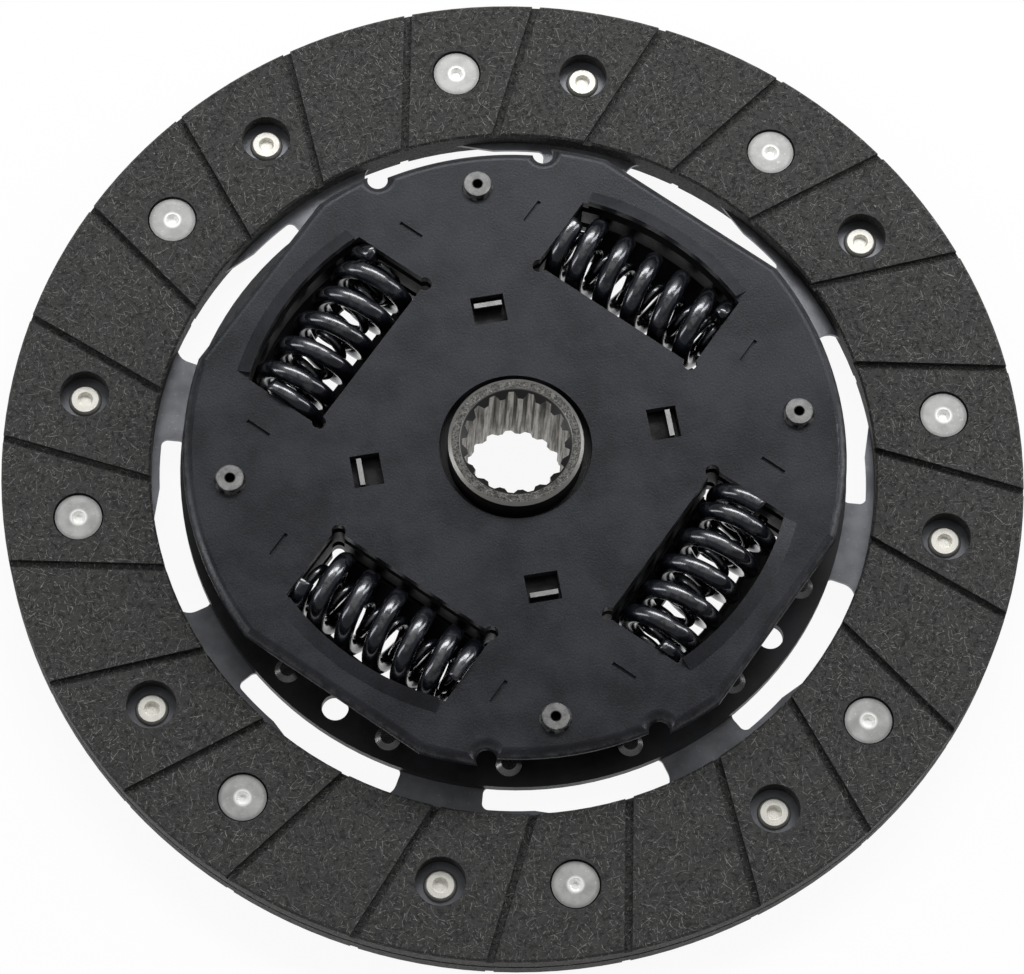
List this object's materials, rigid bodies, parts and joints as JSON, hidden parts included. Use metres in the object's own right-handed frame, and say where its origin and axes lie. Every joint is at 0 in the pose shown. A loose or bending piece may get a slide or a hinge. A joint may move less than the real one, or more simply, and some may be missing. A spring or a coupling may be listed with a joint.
{
  "type": "clutch disc",
  "caption": "Sprung dry clutch disc: grooved ring facings riveted to cushion segments, coil torsion springs in plate windows, and a splined hub that twists against them.",
  "frame": {"origin": "On the shaft axis, in the mid plane of the cushion segments, halfway between the two friction faces", "axes": "+Z along the shaft axis towards the pressure plate and gearbox side; +X through one of the small lug windows of the retainer plate; +Y to the next one"},
  "size_m": [0.19, 0.19, 0.0207],
  "materials": {
    "friction_lining": "pressed organic friction lining, dark, with short pale fibres",
    "facing_rivet_steel": "dull grey plated steel",
    "facing_rivet_brass": "pale brass, rolled ends bright",
    "rivet_steel": "dark steel",
    "segment_steel": "blue-grey hardened spring steel",
    "disc_steel": "dark phosphated steel",
    "plate_steel": "blue-black satin phosphated steel",
    "pin_steel": "grey riveted steel",
    "hub_steel": "machined steel with bright edges",
    "flange_steel": "dark oiled steel",
    "spring_steel": "black oiled spring wire, glossy",
    "friction_ring": "brown friction composite",
    "thrust_steel": "bright thin sheet steel",
    "bush_plastic": "black glass-filled plastic"
  },
  "bodies": {
    "disc": {"front_facing": "friction_lining", "rear_facing": "friction_lining", "front_facing_rivets": "facing_rivet_steel", "rear_facing_rivets": "facing_rivet_brass", "segment_rivets": "rivet_steel", "drive_disc": "disc_steel", "retainer_plate": "plate_steel", "centring_bush": "bush_plastic", "friction_ring_front": "friction_ring", "friction_ring_rear": "friction_ring", "thrust_ring": "thrust_steel", "disc_spring": "thrust_steel", "cushion_segment_1": "segment_steel", "cushion_segment_2": "segment_steel", "cushion_segment_3": "segment_steel", "cushion_segment_4": "segment_steel", "cushion_segment_5": "segment_steel", "cushion_segment_6": "segment_steel", "cushion_segment_7": "segment_steel", "cushion_segment_8": "segment_steel", "stop_pin_1": "pin_steel", "stop_pin_2": "pin_steel", "stop_pin_3": "pin_steel", "stop_pin_4": "pin_steel"},
    "hub": {"hub": "hub_steel", "hub_flange": "flange_steel"},
    "springs": {"torsion_spring_1": "spring_steel", "torsion_spring_2": "spring_steel", "torsion_spring_3": "spring_steel", "torsion_spring_4": "spring_steel", "inner_spring_1": "spring_steel", "inner_spring_2": "spring_steel", "inner_spring_3": "spring_steel", "inner_spring_4": "spring_steel"}
  },
  "joints": [
    {"name": "hub_twist", "type": "hinge", "parent": "disc", "child": "hub", "pos_m": [0, 0, 0], "axis": [0, 0, 1], "range_deg": [-10, 5], "stiffness_Nm_per_rad": 20},
    {"name": "spring_follow", "type": "hinge", "parent": "disc", "child": "springs", "pos_m": [0, 0, 0], "axis": [0, 0, 1], "range_deg": [-5, 2.5], "deforming": ["torsion_spring_1", "torsion_spring_2", "torsion_spring_3", "torsion_spring_4", "inner_spring_1", "inner_spring_2", "inner_spring_3", "inner_spring_4"]}
  ],
  "couplings": [
    {"joint": "spring_follow", "follows": "hub_twist", "ratio": 0.5}
  ]
}
